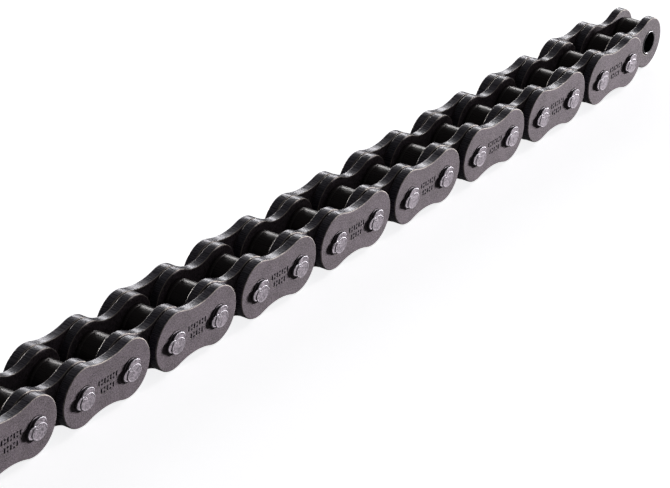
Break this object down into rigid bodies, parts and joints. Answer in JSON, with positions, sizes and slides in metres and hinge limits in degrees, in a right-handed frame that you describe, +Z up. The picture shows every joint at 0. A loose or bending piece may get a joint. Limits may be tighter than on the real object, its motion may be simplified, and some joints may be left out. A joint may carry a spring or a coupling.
{
  "type": "roller chain",
  "caption": "Straight length of single-strand roller chain: inner and outer links hinged on riveted pins, with bushes and free-turning rollers.",
  "frame": {"origin": "middle of the chain's length and width, on the surface that it rests on", "axes": "+X along the chain, +Y along the pins from the near plates to the far plates, +Z up"},
  "size_m": [0.3158, 0.0178, 0.014],
  "materials": {
    "inner_plate": "blackened, oiled, glossy on the rounded edges",
    "outer_plate": "blackened, fine-grained satin face, bright rounded edges",
    "bush": "blackened, polished end rim",
    "pin": "pale grey riveted end, faintly rough",
    "roller": "black, smooth and glossy"
  },
  "bodies": {
    "link_01": {"link_01_inner_plate_near": "inner_plate", "link_01_inner_plate_far": "inner_plate", "link_01_bush_start": "bush", "link_01_bush_end": "bush"},
    "link_02": {"link_02_outer_plate_near": "outer_plate", "link_02_outer_plate_far": "outer_plate", "link_02_pin_start": "pin", "link_02_pin_end": "pin"},
    "link_03": {"link_03_inner_plate_near": "inner_plate", "link_03_inner_plate_far": "inner_plate", "link_03_bush_start": "bush", "link_03_bush_end": "bush"},
    "link_04": {"link_04_outer_frame": "outer_plate"},
    "link_05": {"link_05_inner_frame": "inner_plate"},
    "link_06": {"link_06_outer_frame": "outer_plate"},
    "link_07": {"link_07_inner_frame": "inner_plate"},
    "link_08": {"link_08_outer_frame": "outer_plate"},
    "link_09": {"link_09_inner_frame": "inner_plate"},
    "link_10": {"link_10_outer_frame": "outer_plate"},
    "link_11": {"link_11_inner_frame": "inner_plate"},
    "link_12": {"link_12_outer_frame": "outer_plate"},
    "link_13": {"link_13_inner_frame": "inner_plate"},
    "link_14": {"link_14_outer_frame": "outer_plate"},
    "link_15": {"link_15_inner_frame": "inner_plate"},
    "link_16": {"link_16_outer_plate_near": "outer_plate", "link_16_outer_plate_far": "outer_plate", "link_16_pin_start": "pin", "link_16_pin_end": "pin"},
    "link_17": {"link_17_inner_plate_near": "inner_plate", "link_17_inner_plate_far": "inner_plate", "link_17_bush_start": "bush", "link_17_bush_end": "bush"},
    "link_18": {"link_18_outer_plate_near": "outer_plate", "link_18_outer_plate_far": "outer_plate", "link_18_pin_start": "pin", "link_18_pin_end": "pin"},
    "link_19": {"link_19_inner_plate_near": "inner_plate", "link_19_inner_plate_far": "inner_plate", "link_19_bush_start": "bush", "link_19_bush_end": "bush"},
    "roller_01": {"roller_01": "roller"},
    "roller_02": {"roller_02": "roller"},
    "roller_03": {"roller_03": "roller"},
    "roller_04": {"roller_04": "roller"},
    "roller_05": {"roller_05": "roller"},
    "roller_06": {"roller_06": "roller"},
    "roller_07": {"roller_07": "roller"},
    "roller_08": {"roller_08": "roller"},
    "roller_09": {"roller_09": "roller"},
    "roller_10": {"roller_10": "roller"},
    "roller_11": {"roller_11": "roller"},
    "roller_12": {"roller_12": "roller"},
    "roller_13": {"roller_13": "roller"},
    "roller_14": {"roller_14": "roller"},
    "roller_15": {"roller_15": "roller"},
    "roller_16": {"roller_16": "roller"},
    "roller_17": {"roller_17": "roller"},
    "roller_18": {"roller_18": "roller"},
    "roller_19": {"roller_19": "roller"},
    "roller_20": {"roller_20": "roller"}
  },
  "joints": [
    {"name": "pivot_01", "type": "hinge", "parent": "link_02", "child": "link_01", "pos_m": [-0.13494, 0, 0.007], "axis": [0, 1, 0], "range_deg": [-120, 120]},
    {"name": "pivot_02", "type": "hinge", "parent": "link_03", "child": "link_02", "pos_m": [-0.11906, 0, 0.007], "axis": [0, -1, 0], "range_deg": [-120, 120]},
    {"name": "pivot_03", "type": "hinge", "parent": "link_04", "child": "link_03", "pos_m": [-0.10319, 0, 0.007], "axis": [0, 1, 0], "range_deg": [-120, 120]},
    {"name": "pivot_04", "type": "hinge", "parent": "link_05", "child": "link_04", "pos_m": [-0.08731, 0, 0.007], "axis": [0, -1, 0], "range_deg": [-120, 120]},
    {"name": "pivot_05", "type": "hinge", "parent": "link_06", "child": "link_05", "pos_m": [-0.07144, 0, 0.007], "axis": [0, 1, 0], "range_deg": [-120, 120]},
    {"name": "pivot_06", "type": "hinge", "parent": "link_07", "child": "link_06", "pos_m": [-0.05556, 0, 0.007], "axis": [0, -1, 0], "range_deg": [-120, 120]},
    {"name": "pivot_07", "type": "hinge", "parent": "link_08", "child": "link_07", "pos_m": [-0.03969, 0, 0.007], "axis": [0, 1, 0], "range_deg": [-120, 120]},
    {"name": "pivot_08", "type": "hinge", "parent": "link_09", "child": "link_08", "pos_m": [-0.02381, 0, 0.007], "axis": [0, -1, 0], "range_deg": [-120, 120]},
    {"name": "pivot_09", "type": "hinge", "parent": "link_10", "child": "link_09", "pos_m": [-0.00794, 0, 0.007], "axis": [0, 1, 0], "range_deg": [-120, 120]},
    {"name": "pivot_10", "type": "hinge", "parent": "link_10", "child": "link_11", "pos_m": [0.00794, 0, 0.007], "axis": [0, 1, 0], "range_deg": [-120, 120]},
    {"name": "pivot_11", "type": "hinge", "parent": "link_11", "child": "link_12", "pos_m": [0.02381, 0, 0.007], "axis": [0, -1, 0], "range_deg": [-120, 120]},
    {"name": "pivot_12", "type": "hinge", "parent": "link_12", "child": "link_13", "pos_m": [0.03969, 0, 0.007], "axis": [0, 1, 0], "range_deg": [-120, 120]},
    {"name": "pivot_13", "type": "hinge", "parent": "link_13", "child": "link_14", "pos_m": [0.05556, 0, 0.007], "axis": [0, -1, 0], "range_deg": [-120, 120]},
    {"name": "pivot_14", "type": "hinge", "parent": "link_14", "child": "link_15", "pos_m": [0.07144, 0, 0.007], "axis": [0, 1, 0], "range_deg": [-120, 120]},
    {"name": "pivot_15", "type": "hinge", "parent": "link_15", "child": "link_16", "pos_m": [0.08731, 0, 0.007], "axis": [0, -1, 0], "range_deg": [-120, 120]},
    {"name": "pivot_16", "type": "hinge", "parent": "link_16", "child": "link_17", "pos_m": [0.10319, 0, 0.007], "axis": [0, 1, 0], "range_deg": [-120, 120]},
    {"name": "pivot_17", "type": "hinge", "parent": "link_17", "child": "link_18", "pos_m": [0.11906, 0, 0.007], "axis": [0, -1, 0], "range_deg": [-120, 120]},
    {"name": "pivot_18", "type": "hinge", "parent": "link_18", "child": "link_19", "pos_m": [0.13494, 0, 0.007], "axis": [0, 1, 0], "range_deg": [-120, 120]},
    {"name": "roller_01_spin", "type": "hinge", "parent": "link_01", "child": "roller_01", "pos_m": [-0.15081, 0, 0.007], "axis": [0, 1, 0], "continuous": true},
    {"name": "roller_02_spin", "type": "hinge", "parent": "link_01", "child": "roller_02", "pos_m": [-0.13494, 0, 0.007], "axis": [0, 1, 0], "continuous": true},
    {"name": "roller_03_spin", "type": "hinge", "parent": "link_03", "child": "roller_03", "pos_m": [-0.11906, 0, 0.007], "axis": [0, 1, 0], "continuous": true},
    {"name": "roller_04_spin", "type": "hinge", "parent": "link_03", "child": "roller_04", "pos_m": [-0.10319, 0, 0.007], "axis": [0, 1, 0], "continuous": true},
    {"name": "roller_05_spin", "type": "hinge", "parent": "link_05", "child": "roller_05", "pos_m": [-0.08731, 0, 0.007], "axis": [0, 1, 0], "continuous": true},
    {"name": "roller_06_spin", "type": "hinge", "parent": "link_05", "child": "roller_06", "pos_m": [-0.07144, 0, 0.007], "axis": [0, 1, 0], "continuous": true},
    {"name": "roller_07_spin", "type": "hinge", "parent": "link_07", "child": "roller_07", "pos_m": [-0.05556, 0, 0.007], "axis": [0, 1, 0], "continuous": true},
    {"name": "roller_08_spin", "type": "hinge", "parent": "link_07", "child": "roller_08", "pos_m": [-0.03969, 0, 0.007], "axis": [0, 1, 0], "continuous": true},
    {"name": "roller_09_spin", "type": "hinge", "parent": "link_09", "child": "roller_09", "pos_m": [-0.02381, 0, 0.007], "axis": [0, 1, 0], "continuous": true},
    {"name": "roller_10_spin", "type": "hinge", "parent": "link_09", "child": "roller_10", "pos_m": [-0.00794, 0, 0.007], "axis": [0, 1, 0], "continuous": true},
    {"name": "roller_11_spin", "type": "hinge", "parent": "link_11", "child": "roller_11", "pos_m": [0.00794, 0, 0.007], "axis": [0, 1, 0], "continuous": true},
    {"name": "roller_12_spin", "type": "hinge", "parent": "link_11", "child": "roller_12", "pos_m": [0.02381, 0, 0.007], "axis": [0, 1, 0], "continuous": true},
    {"name": "roller_13_spin", "type": "hinge", "parent": "link_13", "child": "roller_13", "pos_m": [0.03969, 0, 0.007], "axis": [0, 1, 0], "continuous": true},
    {"name": "roller_14_spin", "type": "hinge", "parent": "link_13", "child": "roller_14", "pos_m": [0.05556, 0, 0.007], "axis": [0, 1, 0], "continuous": true},
    {"name": "roller_15_spin", "type": "hinge", "parent": "link_15", "child": "roller_15", "pos_m": [0.07144, 0, 0.007], "axis": [0, 1, 0], "continuous": true},
    {"name": "roller_16_spin", "type": "hinge", "parent": "link_15", "child": "roller_16", "pos_m": [0.08731, 0, 0.007], "axis": [0, 1, 0], "continuous": true},
    {"name": "roller_17_spin", "type": "hinge", "parent": "link_17", "child": "roller_17", "pos_m": [0.10319, 0, 0.007], "axis": [0, 1, 0], "continuous": true},
    {"name": "roller_18_spin", "type": "hinge", "parent": "link_17", "child": "roller_18", "pos_m": [0.11906, 0, 0.007], "axis": [0, 1, 0], "continuous": true},
    {"name": "roller_19_spin", "type": "hinge", "parent": "link_19", "child": "roller_19", "pos_m": [0.13494, 0, 0.007], "axis": [0, 1, 0], "continuous": true},
    {"name": "roller_20_spin", "type": "hinge", "parent": "link_19", "child": "roller_20", "pos_m": [0.15081, 0, 0.007], "axis": [0, 1, 0], "continuous": true}
  ]
}
